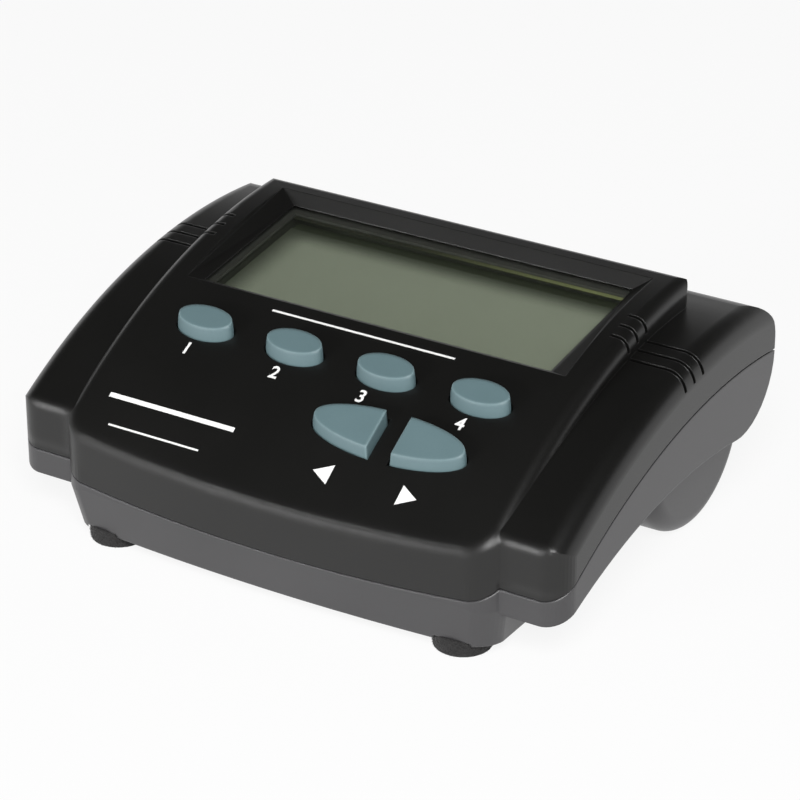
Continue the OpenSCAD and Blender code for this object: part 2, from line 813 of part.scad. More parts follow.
// One half of the split oval, to the left or right of the gap
module arrow_key(side) {
    color(key_grey) {
        intersection() {
            key_body(arrow_x, arrow_y, arrow_l, arrow_w, arrow_rise);
            arrow_half(side, arrow_gap);
        }
        key_stem([arrow_x + side * arrow_stem_x, arrow_y]);
    }
}

// Six way telephone socket with a stepped mouth for the plug and its catch
plug_w = 9.9;
plug_h = 6.8;
plug_depth = 12.5;
catch_slot_w = 6.2;
catch_slot_h = 2.6;
module jack(x) {
    low = -jack_h / 2 + 1.4;
    color("#2a2a2a") translate([x, jack_front, jack_z]) difference() {
        translate([-jack_w / 2, -jack_l, -jack_h / 2]) cube([jack_w, jack_l, jack_h]);
        translate([-plug_w / 2, -plug_depth, low + catch_slot_h]) cube([plug_w, plug_depth + 1, plug_h]);
        translate([-catch_slot_w / 2, -plug_depth, low])
            cube([catch_slot_w, plug_depth + 1, catch_slot_h + 1]);
    }
}

// Four spring wires under the roof of each socket
module jack_contacts() {
    wire = 0.45;
    roof = jack_z - jack_h / 2 + 1.4 + catch_slot_h + plug_h;
    wire_l = 8;
    color("#c9a94e") for (x = jack_posts, i = [-1.5:1:1.5])
        translate([x + i * 1.02, jack_front - plug_depth, roof - 0.3]) rotate([-6, 0, 0])
            translate([-wire / 2, 0, -wire]) cube([wire, wire_l, wire]);
}

module jack_board() {
    color("#2c6b3c") difference() {
        translate([-jack_board_half, jack_board_front, jack_board_top - board_t])
            cube([2 * jack_board_half, jack_board_rear - jack_board_front, board_t]);
        for (p = jack_bosses) translate([p[0], p[1], 0]) cylinder(d = board_screw_d + 0.2, h = case_h);
    }
}

// Two film capacitors that couple the line
module line_capacitors() {
    size = [13, 5, 9];
    color("#8e3b2f") for (side = [-1, 1])
        translate([side * jack_board_half / 2 - size[0] / 2, jack_board_front + 1.2, jack_board_top])
            cube(size);
}

// Battery cells, their poles turned about in turn
cell_cap_d = 3.8;
cell_cap_h = 1;
module battery_cells() {
    color("#4c6f8f") for (i = [0:cells - 1]) translate([0, cell_places[i], cell_z])
        rotate([0, i % 2 == 0 ? 90 : -90, 0]) translate([0, 0, spring_l / 2 - cell_l / 2]) {
            cylinder(d = cell_d, h = cell_l - cell_cap_h);
            cylinder(d = cell_cap_d, h = cell_l);
        }
}

// A conical coil, one unbroken wire swept along its helix
module cone_spring(base_d, tip_d, h, turns, wire) {
    rings = 8 * turns;
    sides = 6;
    function centre(k) =
        let(t = k / rings, r = (base_d + (tip_d - base_d) * t - wire) / 2, a = 360 * turns * t)
            [r * cos(a), r * sin(a), wire / 2 + (h - wire) * t];
    points = [for (k = [0:rings], s = [0:sides - 1])
        let(a = 360 * turns * k / rings, q = 360 * s / sides)
            centre(k) + wire / 2 * [cos(q) * cos(a), cos(q) * sin(a), sin(q)]];
    skin = [for (k = [0:rings - 1], s = [0:sides - 1], half = [0, 1])
        let(a = k * sides + s, b = k * sides + (s + 1) % sides)
            half == 0 ? [a, a + sides, b] : [b, a + sides, b + sides]];
    polyhedron(points, concat(skin,
        [for (s = [1:sides - 2]) [0, s, s + 1]],
        [for (s = [1:sides - 2]) [rings * sides, rings * sides + s + 1, rings * sides + s]]));
}

module battery_springs() {
    color("#b8bcc0") for (i = [0:cells - 1]) translate([0, cell_places[i], cell_z])
        rotate([0, i % 2 == 0 ? 90 : -90, 0]) translate([0, 0, -spring_l / 2 - cell_l / 2])
            cone_spring(8, 5, spring_l, 4, 0.6);
}

// Sheet contacts at both ends of every cell
module battery_plates() {
    plate = 9;
    color("#b8bcc0") for (y = cell_places, side = [-1, 1])
        translate([side * ((cell_l + spring_l) / 2 + plate_t / 2), y, cell_z])
            cube([plate_t, plate, plate], center = true);
}

// Pan head screw pointing up, its head's seat at Z = 0
module screw_up(d, l, head, head_t) {
    difference() {
        union() {
            cylinder(d = d, h = l, $fn = 48);
            translate([0, 0, -head_t]) cylinder(d = head, h = head_t, $fn = 48);
        }
        for (turn = [0, 90]) rotate([0, 0, turn])
            translate([-head / 3, -0.3, -head_t - 1]) cube([head / 1.5, 0.6, 1 + head_t / 2]);
    }
}

module case_screws() {
    color("#9a9a9a") for (p = posts) translate([p[0], p[1], p[3]])
        screw_up(pilot_d, screw_l, head_d, head_h);
}

module board_screws() {
    color("#9a9a9a") {
        for (p = key_bosses) translate([p[0], p[1], key_board_z - board_t])
            screw_up(board_pilot_d, board_screw_l, board_head_d, board_head_h);
        display_frame() for (p = display_bosses) translate([p[0], p[1], holder_low - board_t])
            screw_up(board_pilot_d, board_screw_l, board_head_d, board_head_h);
        for (p = jack_bosses) translate([p[0], p[1], jack_board_top]) rotate([180, 0, 0])
            screw_up(board_pilot_d, board_screw_l - 1, board_head_d, board_head_h);
    }
}

top_cover();
bottom_cover();
battery_door();
front_feet();
display_lens();
display_cell();
display_holder();
contact_strips();
display_board();
main_chip();
key_board();
link_pins();
switch_housings();
oval_key(key_places[0]);  // key_1
oval_key(key_places[1]);  // key_2
oval_key(key_places[2]);  // key_3
oval_key(key_places[3]);  // key_4
arrow_key(-1);  // key_left
arrow_key(1);  // key_right
plunger(key_places[0]);  // plunger_1
plunger(key_places[1]);  // plunger_2
plunger(key_places[2]);  // plunger_3
plunger(key_places[3]);  // plunger_4
plunger(arrow_places[0]);  // plunger_left
plunger(arrow_places[1]);  // plunger_right
jack(jack_posts[0]);  // line_jack
jack(jack_posts[1]);  // phone_jack
jack_contacts();
jack_board();
line_capacitors();
battery_cells();
battery_springs();
battery_plates();
case_screws();
board_screws();
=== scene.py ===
import math

import bmesh
import bpy
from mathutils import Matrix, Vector, noise


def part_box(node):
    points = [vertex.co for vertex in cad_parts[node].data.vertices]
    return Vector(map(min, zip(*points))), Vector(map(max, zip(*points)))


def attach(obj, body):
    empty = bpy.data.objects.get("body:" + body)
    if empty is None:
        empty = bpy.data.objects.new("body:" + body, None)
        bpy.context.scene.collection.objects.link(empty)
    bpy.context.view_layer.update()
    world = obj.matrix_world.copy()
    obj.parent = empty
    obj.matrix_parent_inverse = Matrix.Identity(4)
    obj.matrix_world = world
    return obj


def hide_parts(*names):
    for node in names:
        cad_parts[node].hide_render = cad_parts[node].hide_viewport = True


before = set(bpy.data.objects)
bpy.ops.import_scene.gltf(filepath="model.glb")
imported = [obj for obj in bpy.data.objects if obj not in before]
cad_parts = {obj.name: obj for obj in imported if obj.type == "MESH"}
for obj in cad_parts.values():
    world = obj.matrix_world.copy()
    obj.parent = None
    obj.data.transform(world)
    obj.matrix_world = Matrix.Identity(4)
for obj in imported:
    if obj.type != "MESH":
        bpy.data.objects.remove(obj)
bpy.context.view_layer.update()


# Bottom cover: a black moulding with a fine spark grain, tapered at the front and closed at
# the rear by the barrel that it stands on. Mould edges are slightly rounded and take a polish
# from handling, so they catch the light.
MM = 0.001
base_low = (0.0247, 0.024, 0.0253)
base_high = (0.0532, 0.0518, 0.0544)
base_index = 1.58
edge_samples = 8
hollow_samples = 6
hollow_reach = 1.1 * MM
# Limit and gain of the painted shade that darkens the hollows of the mouldings.
crevice_shade_limit = 0.62
crevice_shade_gain = 3.2


class Wire:
    """An output socket of a node tree. Sums and products of wires add Math nodes to the tree."""

    def __init__(self, tree, socket=None):
        self.tree = tree
        self.socket = socket

    def node(self, kind, settings, sockets, out=0):
        made = self.tree.nodes.new(kind)
        for name, value in settings.items():
            if name == "stops":
                for element, (position, colour) in zip(made.color_ramp.elements, value):
                    element.position = position
                    element.color = colour
            else:
                setattr(made, name, value)
        for name, value in sockets.items():
            if isinstance(value, Wire):
                self.tree.links.new(value.socket, made.inputs[name])
            else:
                made.inputs[name].default_value = value
        return Wire(self.tree, made.outputs[out])

    def math(self, operation, a, b):
        return self.node("ShaderNodeMath", {"operation": operation}, {0: a, 1: b})

    def __add__(self, other):
        return self.math("ADD", self, other)

    __radd__ = __add__

    def __sub__(self, other):
        return self.math("SUBTRACT", self, other)

    def __rsub__(self, other):
        return self.math("SUBTRACT", other, self)

    def __mul__(self, other):
        return self.math("MULTIPLY", self, other)

    __rmul__ = __mul__

    def __truediv__(self, other):
        return self.math("DIVIDE", self, other)

    def __pow__(self, other):
        return self.math("POWER", self, other)

    def clamp(self):
        return self.node("ShaderNodeClamp", {}, {"Value": self})

    def axis(self, letter):
        return self.node("ShaderNodeSeparateXYZ", {}, {0: self}, letter)

    def fade(self, start, end):
        return self.node("ShaderNodeMapRange", {"interpolation_type": "SMOOTHSTEP"}, {
            "Value": self, "From Min": start, "From Max": end})

    def grain(self, scale, detail=2.0, rough=0.5):
        return self.node("ShaderNodeTexNoise", {}, {
            "Vector": self, "Scale": scale, "Detail": detail, "Roughness": rough})

    def between(self, low, high):
        return self.node("ShaderNodeMix", {"data_type": "RGBA"}, {
            "Factor": self, 6: (*low, 1), 7: (*high, 1)}, 2)

    def relief(self, strength, depth, under=None):
        sockets = {"Strength": strength, "Distance": depth, "Height": self}
        if under is not None:
            sockets["Normal"] = under
        return self.node("ShaderNodeBump", {}, sockets)


def new_finish(name, **fixed):
    made = bpy.data.materials.new(name)
    made.use_nodes = True
    shader = made.node_tree.nodes["Principled BSDF"]
    for socket, value in fixed.items():
        shader.inputs[socket.replace("_", " ")].default_value = value
    place = Wire(made.node_tree).node("ShaderNodeTexCoord", {}, {}, "Object")
    return made, shader, place


def feed(shader, **wires):
    for socket, wire in wires.items():
        wire.tree.links.new(wire.socket, shader.inputs[socket.replace("_", " ")])


def dress(finish, *nodes):
    for name in nodes:
        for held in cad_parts[name].material_slots:
            held.material = finish


def soft_normal(place, radius):
    return place.node("ShaderNodeBevel", {"samples": edge_samples}, {"Radius": radius})


def edge_mask(place, rounded, gain):
    face = place.node("ShaderNodeNewGeometry", {}, {}, "Normal")
    along = place.node("ShaderNodeVectorMath", {"operation": "DOT_PRODUCT"}, {
        0: rounded, 1: face}, "Value")
    return ((1 - along) * gain).clamp()


def moulded(name, low, high, gloss, index, soft_edge, widened=None):
    made, shader, place = new_finish(name, IOR=index)
    rounded = soft_normal(place, soft_edge)
    open_air = place.node("ShaderNodeAmbientOcclusion", {"samples": hollow_samples}, {
        "Distance": hollow_reach}, "AO")
    if widened is not None:
        rounded = widened(place, rounded, open_air)
    worn = edge_mask(place, rounded, gain=3.5)
    # Base colour darkens where ambient occlusion finds grooves and creases: painted shade in the
    # hollows.
    painted_crevice_shade = ((crevice_shade_limit - open_air) * crevice_shade_gain).clamp()
    spark = place.grain(scale=3600, detail=3, rough=0.65)
    flow = place.grain(scale=45)
    tone = (flow * 0.5 + spark * 0.3 + worn * 0.6 - painted_crevice_shade).clamp()
    feed(shader, Base_Color=tone.between(low, high),
         Roughness=(gloss + spark * 0.12 + flow * 0.05 - worn * 0.05).clamp(),
         Normal=spark.relief(strength=0.22, depth=0.05 * MM, under=rounded))
    return made


base_black = moulded("base_black", base_low, base_high, gloss=0.3, index=base_index,
                     soft_edge=0.5 * MM)
dress(base_black, "bottom_cover")


# Top cover: the same black moulded, more finely polished, as one curved panel with a sunk
# window, a rail down each side and an arm outside each rail. Screws hold it from below, and
# its front edge is rounded where the panel turns down.
case_low = (0.0028, 0.0028, 0.0025)
case_high = (0.009, 0.0088, 0.0083)
nose_radius = 3.2 * MM
nose_y = (-33 * MM, -35.5 * MM)
nose_z = (14 * MM, 16 * MM)
nose_limit = 0.6
nose_gain = 3.5


def nose(place, rounded, open_air):
    ahead = place.axis("Y").fade(*nose_y)
    upper = place.axis("Z").fade(*nose_z)
    not_hollow = ((open_air - nose_limit) * nose_gain).clamp()
    return place.node("ShaderNodeMix", {"data_type": "VECTOR"}, {
        "Factor": ahead * upper * not_hollow, 4: rounded, 5: soft_normal(place, nose_radius)}, 1)


case_black = moulded("case_black", case_low, case_high, gloss=0.25, index=1.5,
                     soft_edge=0.16 * MM, widened=nose)
dress(case_black, "top_cover")


# Front feet: two discs punched from black cellular rubber and glued into shallow seats.
# Their cut sides show open cells and a fuzz of torn skin.
foot_r = 5.2 * MM
foot_x = 35.1 * MM
foot_y = -32.6 * MM
foot_low, foot_high = (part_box("front_feet")[k].z for k in (0, 1))
foot_rings = 26
foot_steps = 128
foot_inset = 0.2 * MM
foot_swell = 0.12 * MM
rim_round = 0.35 * MM
rims_in_height = 9
cell_depth = 0.13 * MM
coarse_cells = 5.3
fine_cells = 11.7
cells_round = 5.2
cells_up = 3
cells_apart = 900
fuzz_lean = 0.9
fuzz_turn = 6.28
fuzz_least = 0.35
side_limit = 0.25


def foam_disc(mesh, x):
    rows = []
    for k in range(foot_rings + 1):
        t = k / foot_rings
        z = foot_low + (foot_high - foot_low) * t
        swell = math.sin(math.pi * t) * foot_swell
        round_off = rim_round * max(0, 1 - t * rims_in_height) ** 2
        row = []
        for s in range(foot_steps):
            turn = 2 * math.pi * s / foot_steps
            spot = Vector((math.cos(turn) * cells_round + x * cells_apart,
                           math.sin(turn) * cells_round, t * cells_up))
            cell = noise.noise(spot * coarse_cells) * 0.5 + noise.noise(spot * fine_cells) * 0.5
            r = foot_r - foot_inset + swell - round_off + cell * cell_depth
            row.append(mesh.verts.new((x + r * math.cos(turn), foot_y + r * math.sin(turn), z)))
        rows.append(row)
    for below, above in zip(rows, rows[1:]):
        for s in range(foot_steps):
            n = (s + 1) % foot_steps
            mesh.faces.new((below[s], below[n], above[n], above[s]))
    mesh.faces.new(rows[0][::-1])
    mesh.faces.new(rows[-1])


def finished(name, mesh, finish, smooth=True):
    data = bpy.data.meshes.new(name)
    mesh.to_mesh(data)
    mesh.free()
    for poly in data.polygons:
        poly.use_smooth = smooth
    data.materials.append(finish)
    made = bpy.data.objects.new(name, data)
    bpy.context.scene.collection.objects.link(made)
    return made


foam, shader, place = new_finish("cell_foam", Sheen_Weight=0.08, Sheen_Roughness=0.5)
cells = place.node("ShaderNodeTexVoronoi", {}, {"Vector": place, "Scale": 2600.0}, "Distance")
cloud = place.grain(scale=700, detail=3)
tone = (cells * 0.6 + cloud * 0.5).clamp()
feed(shader, Base_Color=tone.between((0.003, 0.003, 0.003), (0.02, 0.019, 0.019)),
     Roughness=0.85 + cloud * 0.12, Normal=cells.relief(strength=0.8, depth=0.15 * MM))
mesh = bmesh.new()
for side in (-1, 1):
    foam_disc(mesh, side * foot_x)
bmesh.ops.recalc_face_normals(mesh, faces=mesh.faces)
feet = finished("foam_feet", mesh, foam)
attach(feet, "housing")
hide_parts("front_feet")


def new_tree(name, **sizes):
    tree = bpy.data.node_groups.new(name, "GeometryNodeTree")
    tree.interface.new_socket(name="Geometry", in_out="INPUT", socket_type="NodeSocketGeometry")
    for socket, kind in sizes.items():
        tree.interface.new_socket(name=socket, in_out="INPUT", socket_type="NodeSocket" + kind)
    tree.interface.new_socket(name="Geometry", in_out="OUTPUT", socket_type="NodeSocketGeometry")
    given = tree.nodes.new("NodeGroupInput")
    return tree, {socket.name: Wire(tree, socket) for socket in given.outputs if socket.name}


def close_tree(tree, shape, finish):
    plain = shape.node("GeometryNodeRealizeInstances", {}, {"Geometry": shape})
    coated = plain.node("GeometryNodeSetMaterial", {}, {"Geometry": plain, "Material": finish})
    tree.links.new(coated.socket, tree.nodes.new("NodeGroupOutput").inputs[0])


def grown(name, host, tree, **sizes):
    modifier = host.modifiers.new(name, "NODES")
    modifier.node_group = tree
    for socket in tree.interface.items_tree:
        if socket.in_out == "INPUT" and socket.name in sizes:
            modifier[socket.identifier] = sizes[socket.name]
    bpy.context.view_layer.update()
    seen = host.evaluated_get(bpy.context.evaluated_depsgraph_get())
    data = bpy.data.meshes.new_from_object(seen)
    data.name = name
    host.modifiers.remove(modifier)
    made = bpy.data.objects.new(name, data)
    bpy.context.scene.collection.objects.link(made)
    return made


fuzz_tree, given = new_tree("foot_fuzz", Length="Float", Thickness="Float", Density="Float", Seed="Int")
skin = given["Geometry"]
lie = skin.node("GeometryNodeInputNormal", {}, {}).axis("Z")
upright = lie.node("FunctionNodeCompare", {"data_type": "FLOAT", "operation": "LESS_THAN"}, {
    0: lie * lie, 1: side_limit})
spots = skin.node("GeometryNodeDistributePointsOnFaces", {}, {
    "Mesh": skin, "Selection": upright, "Density": given["Density"], "Seed": given["Seed"]}, "Points")
facing = Wire(fuzz_tree, spots.socket.node.outputs["Rotation"])
shred = spots.node("GeometryNodeMeshCone", {"fill_type": "NONE"}, {
    "Vertices": 4, "Radius Top": given["Thickness"] * 0.2, "Radius Bottom": given["Thickness"],
    "Depth": given["Length"]}, "Mesh")
lean = spots.node("FunctionNodeRandomValue", {"data_type": "FLOAT_VECTOR"}, {
    0: (-fuzz_lean, -fuzz_lean, 0), 1: (fuzz_lean, fuzz_lean, fuzz_turn), "Seed": given["Seed"] + 1})
size = spots.node("FunctionNodeRandomValue", {"data_type": "FLOAT"}, {
    2: fuzz_least, 3: 1.0, "Seed": given["Seed"] + 2}, 1)
stood = spots.node("GeometryNodeInstanceOnPoints", {}, {
    "Points": spots, "Instance": shred, "Rotation": facing, "Scale": size})
tossed = stood.node("GeometryNodeRotateInstances", {}, {"Instances": stood, "Rotation": lean})
close_tree(fuzz_tree, tossed, foam)
fuzz = grown("foot_fuzz", feet, fuzz_tree, Length=0.34 * MM, Thickness=0.035 * MM, Density=9e6, Seed=4)
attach(fuzz, "housing")


# Telephone sockets: glossy black mouldings with gold plated spring wires, soldered to a
# green laminate board on two bosses, with a pair of dipped capacitors beside them.
socket_black, shader, place = new_finish("socket_black")
haze = place.grain(scale=900)
feed(shader, Base_Color=haze.between((0.011, 0.011, 0.012), (0.02, 0.02, 0.021)),
     Roughness=0.24 + haze * 0.1, Normal=haze.relief(strength=0.1, depth=0.03 * MM))
dress(socket_black, "line_jack", "phone_jack")

plated, shader, place = new_finish("plated_wire", Metallic=1.0)
draw = place.grain(scale=1500)
feed(shader, Base_Color=draw.between((0.72, 0.5, 0.16), (0.86, 0.64, 0.25)),
     Roughness=0.2 + draw * 0.15)
dress(plated, "jack_contacts", "link_pins")

laminate, shader, place = new_finish("green_laminate")
weave = place.node("ShaderNodeTexBrick", {}, {
    "Vector": place, "Scale": 420.0, "Mortar Size": 0.06}, "Fac")
track = place.node("ShaderNodeTexVoronoi", {"feature": "DISTANCE_TO_EDGE"}, {
    "Vector": place, "Scale": 260.0}, "Distance")
copper = (1 - track * 9).clamp()
tone = (copper * 0.7 + weave * 0.15).clamp()
feed(shader, Base_Color=tone.between((0.012, 0.09, 0.03), (0.05, 0.2, 0.07)),
     Roughness=0.3 + weave * 0.15, Normal=copper.relief(strength=0.3, depth=0.04 * MM))
dress(laminate, "jack_board", "key_board", "display_board")

dipped, shader, place = new_finish("dipped_coat")
run = place.grain(scale=300)
feed(shader, Base_Color=run.between((0.2, 0.03, 0.018), (0.36, 0.07, 0.035)),
     Roughness=0.18 + run * 0.14, Normal=run.relief(strength=0.3, depth=0.2 * MM))
dress(dipped, "line_capacitors")


# Battery bay: two small cells in printed sleeves between conical steel springs and pressed
# sheet contacts. The lid underneath is moulded with the covers and turns on its front edge.
band_start = 12 * MM
grip_setback = 7 * MM
grip_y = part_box("battery_door")[1].y - grip_setback
grip_z = 2.95 * MM

sleeve, shader, place = new_finish("cell_sleeve", Metallic=0.55)
band = place.math("GREATER_THAN", place.axis("X"), band_start)
scuff = place.grain(scale=250, detail=3)
tone = (band * 0.8 + scuff * 0.2).clamp()
feed(shader, Base_Color=tone.between((0.05, 0.12, 0.24), (0.5, 0.4, 0.2)),
     Roughness=0.22 + scuff * 0.2)
dress(sleeve, "battery_cells")

bright_steel, shader, place = new_finish("plated_steel", Metallic=1.0)
brushed = place.grain(scale=2200)
feed(shader, Base_Color=brushed.between((0.42, 0.42, 0.43), (0.62, 0.62, 0.63)),
     Roughness=0.22 + brushed * 0.22, Normal=brushed.relief(strength=0.08, depth=0.02 * MM))
dress(bright_steel, "battery_springs", "battery_plates", "case_screws", "board_screws")

lid_black = moulded("lid_black", base_low, base_high, gloss=0.32, index=base_index,
                    soft_edge=0.35 * MM)
dress(lid_black, "battery_door")

rib_tree, given = new_tree("grip_ribs", Length="Float", Width="Float", Height="Float",
                           Pitch="Float", Count="Int")
bar = given["Geometry"].node("GeometryNodeMeshCylinder", {"fill_type": "NGON"}, {
    "Vertices": 12, "Radius": given["Width"] * 0.5, "Depth": given["Length"]}, "Mesh")
sized = bar.node("ShaderNodeCombineXYZ", {}, {0: 1.0, 1: given["Height"] / given["Width"], 2: 1.0})
oval = bar.node("GeometryNodeTransform", {}, {"Geometry": bar, "Scale": sized})
turned = oval.node("GeometryNodeTransform", {}, {
    "Geometry": oval, "Rotation": (math.radians(90), 0, math.radians(90))})
step = bar.node("ShaderNodeCombineXYZ", {}, {1: given["Pitch"]})
first = bar.node("ShaderNodeCombineXYZ", {}, {1: (1 - given["Count"]) * given["Pitch"] * 0.5})
row = bar.node("GeometryNodeMeshLine", {}, {
    "Count": given["Count"], "Start Location": first, "Offset": step})
bars = bar.node("GeometryNodeInstanceOnPoints", {}, {"Points": row, "Instance": turned})
set_in = bars.node("GeometryNodeTransform", {}, {
    "Geometry": bars, "Translation": (0, grip_y, grip_z)})
close_tree(rib_tree, set_in, lid_black)
seat = finished("grip_seat", bmesh.new(), lid_black)
ribs = grown("grip_ribs", seat, rib_tree, Length=8.6 * MM, Width=0.6 * MM, Height=0.7 * MM,
             Pitch=1.05 * MM, Count=5)
bpy.data.objects.remove(seat)
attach(ribs, "battery_lid")


# Display: a clear lens over a liquid crystal cell of two glass plates, with a polarising film
# on top and a grey-green reflecting film below. A dark frame clamps it on soft contact strips
# above its board, which carries a flat pack chip.
white = (1, 1, 1, 1)
lens_mid = Vector((0, 9.4, 40.49))
lens_tilt = math.radians(7.88)
film_half = 35.4
film_steps = 24
# Spans over which the reflecting film darkens towards its edges: painted shadow of the frame.
shade_left = (-36.2 * MM, -29 * MM)
shade_right = (37 * MM, 30.5 * MM)
shade_rear = (23.4 * MM, 18.2 * MM)
# Span over which the polariser strip goes from painted shade to painted light.
painted_light_span = (-14 * MM, 34 * MM)


def clear_sheet(name, tint, sheen):
    made = bpy.data.materials.new(name)
    made.use_nodes = True
    tree = made.node_tree
    tree.nodes.remove(tree.nodes["Principled BSDF"])
    base = Wire(tree)
    through = base.node("ShaderNodeBsdfTransparent", {}, {"Color": (*tint, 1)})
    shine = base.node("ShaderNodeBsdfGlossy", {}, {"Color": white, "Roughness": 0.05})
    slant = base.node("ShaderNodeLayerWeight", {}, {"Blend": 0.5}, "Facing")
    smear = base.node("ShaderNodeTexCoord", {}, {}, "Object").grain(scale=60)
    bounce = (sheen + (1 - sheen) * slant ** 5) * (0.85 + smear * 0.2)
    both = base.node("ShaderNodeMixShader", {}, {0: bounce, 1: through, 2: shine})
    tree.links.new(both.socket, tree.nodes["Material Output"].inputs["Surface"])
    return made


dress(clear_sheet("lens_clear", tint=(0.97, 0.98, 0.96), sheen=0.035), "display_lens")
dress(clear_sheet("cell_glass", tint=(0.95, 0.97, 0.92), sheen=0.012), "display_cell")


def on_lens(x, up_slope, over):
    y = lens_mid.y + up_slope * math.cos(lens_tilt) - over * math.sin(lens_tilt)
    z = lens_mid.z + up_slope * math.sin(lens_tilt) + over * math.cos(lens_tilt)
    return Vector((x, y, z)) * MM


def film(name, finish, up_slope, over, thick):
    mesh = bmesh.new()
    across = [-film_half + 2 * film_half * k / film_steps for k in range(film_steps + 1)]
    columns = [[mesh.verts.new(on_lens(x, side, over)) for side in up_slope] for x in across]
    for left, right in zip(columns, columns[1:]):
        mesh.faces.new((left[0], right[0], right[1], left[1]))
    rise = on_lens(0, 0, thick) - on_lens(0, 0, 0)
    for vert in bmesh.ops.extrude_face_region(mesh, geom=mesh.faces[:])["geom"]:
        if isinstance(vert, bmesh.types.BMVert):
            vert.co += rise
    bmesh.ops.recalc_face_normals(mesh, faces=mesh.faces)
    made = finished(name, mesh, finish, False)
    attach(made, "housing")


reflector, shader, place = new_finish("cell_reflector", Specular_IOR_Level=0.2)
drawn = place.node("ShaderNodeMapping", {}, {"Vector": place, "Scale": (0.08, 1, 1)}).grain(scale=5200)
pearl = place.grain(scale=9000)
# The film's colour darkens towards its left, right and rear edges: painted shadow of the frame over it.
painted_side_shadow = place.axis("X").fade(*shade_left) * place.axis("X").fade(*shade_right)
painted_frame_shadow = painted_side_shadow * place.axis("Y").fade(*shade_rear)
tone = (drawn * 0.12 + pearl * 0.12 + painted_frame_shadow * 0.8).clamp()
feed(shader, Base_Color=tone.between((0.03, 0.032, 0.027), (0.39, 0.39, 0.388)),
     Roughness=0.5 + pearl * 0.1)
film("reflector_film", reflector, up_slope=(-15.05, 13.4), over=-4.25, thick=0.08)

film_edge, shader, place = new_finish("polariser_edge")
# The strip's colour brightens from left to right: a painted reflection of light along the glass edge,
# fading into painted shade at the left.
painted_light_fade = place.axis("X").fade(*painted_light_span)
tone = (painted_light_fade * (0.85 + place.grain(scale=700) * 0.3)).clamp()
feed(shader, Base_Color=tone.between((0.02, 0.022, 0.014), (0.17, 0.185, 0.085)),
     Roughness=0.3 + painted_light_fade * 0.1)
film("polariser_edge", film_edge, up_slope=(13.1, 13.9), over=-1.94, thick=0.09)

natural, shader, place = new_finish("holder_grey")
haze = place.grain(scale=500)
feed(shader, Base_Color=haze.between((0.03, 0.031, 0.028), (0.05, 0.05, 0.046)),
     Roughness=0.5 + haze * 0.1)
dress(natural, "display_holder")

silicone, shader, place = new_finish("strip_silicone")
layers = place.node("ShaderNodeTexWave", {}, {"Vector": place, "Scale": 1200.0}, "Fac")
feed(shader, Base_Color=layers.between((0.02, 0.024, 0.014), (0.035, 0.04, 0.026)),
     Roughness=0.5 + layers * 0.1)
dress(silicone, "contact_strips")

pack_black, shader, place = new_finish("pack_black")
mould = place.grain(scale=2500)
feed(shader, Base_Color=mould.between((0.014, 0.014, 0.015), (0.03, 0.03, 0.031)),
     Roughness=0.45 + mould * 0.15, Normal=mould.relief(strength=0.2, depth=0.03 * MM))
dress(pack_black, "main_chip", "switch_housings")


# Keys: four ovals and a split oval, moulded in blue-grey with a satin spark finish. Each has
# a flange under the panel and a stem on the ivory plunger of its switch. The caps have rounded
# rims, and the halves of the split oval stand lower over the panel than the ovals.
oval_rise = 2.1 * MM
arrow_rise = 1.7 * MM
KEYS = {"key_1": ("first_key", oval_rise), "key_2": ("second_key", oval_rise),
        "key_3": ("third_key", oval_rise), "key_4": ("fourth_key", oval_rise),
        "key_left": ("left_arrow", arrow_rise), "key_right": ("right_arrow", arrow_rise)}
cap_draft = 0.055
crease = math.radians(32)
weld = 1e-6
panel_depth = 71 * MM
panel_drop = 25.4 * MM
sweep_r = (panel_depth ** 2 + panel_drop ** 2) / (2 * panel_drop)
sweep_y = 31 * MM
sweep_z = 45 * MM - sweep_r
# Lighter blue-grey laid on the cap rims in the base colour: a painted highlight.
painted_rim_highlight = (0.3, 0.42, 0.44, 1)

key_satin, shader, place = new_finish("key_satin")
rounded = soft_normal(place, 0.85 * MM)
# At the rims the roughness drops for a real polish, and the base colour lightens as a painted
# highlight.
rim_polish_and_highlight = edge_mask(place, rounded, gain=3)
spark = place.grain(scale=3200, detail=3, rough=0.6)
cloud = place.grain(scale=140)
cap_tone = (spark * 0.35 + cloud * 0.35 + rim_polish_and_highlight * 0.4).clamp().between(
    (0.089, 0.143, 0.156), (0.13, 0.2, 0.215))
cap_tone_with_painted_rim = rim_polish_and_highlight.node("ShaderNodeMix", {"data_type": "RGBA"}, {
    "Factor": rim_polish_and_highlight * 0.45, 6: cap_tone, 7: painted_rim_highlight}, 2)
feed(shader, Base_Color=cap_tone_with_painted_rim, Roughness=0.4 + spark * 0.12 - rim_polish_and_highlight * 0.06,
     Normal=spark.relief(strength=0.18, depth=0.04 * MM, under=rounded))
dress(key_satin, *KEYS)


def over_panel(point):
    return math.hypot(point.y - sweep_y, point.z - sweep_z) - sweep_r


def middle_of(values):
    return (min(values) + max(values)) / 2


